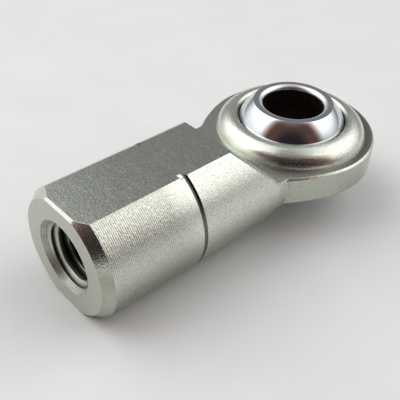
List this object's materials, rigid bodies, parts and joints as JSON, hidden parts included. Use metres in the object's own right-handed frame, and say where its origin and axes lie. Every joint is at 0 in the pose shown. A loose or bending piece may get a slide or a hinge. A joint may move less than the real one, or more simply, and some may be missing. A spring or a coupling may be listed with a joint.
{
  "type": "female rod end",
  "caption": "Female rod end: a bored ball swivels in a thin eye swaged around it, on a round shank with wrench flats and a tapped blind hole in its end.",
  "frame": {"origin": "centre of the ball", "axes": "+Z along the ball's bore, the shank runs towards -X, +Y completes the right-handed frame"},
  "size_m": [0.0592, 0.028, 0.017],
  "materials": {
    "plated_steel": "satin zinc plating over turned and pressed carbon steel",
    "chromed_ball": "polished chrome plating"
  },
  "bodies": {
    "body": {"rod_end_body": "plated_steel"},
    "ball": {"swivel_ball": "chromed_ball"}
  },
  "joints": [
    {"name": "ball_tilt", "type": "hinge", "parent": "body", "child": "ball", "pos_m": [0, 0, 0], "axis": [0, 1, 0], "range_deg": [-14, 14]}
  ]
}
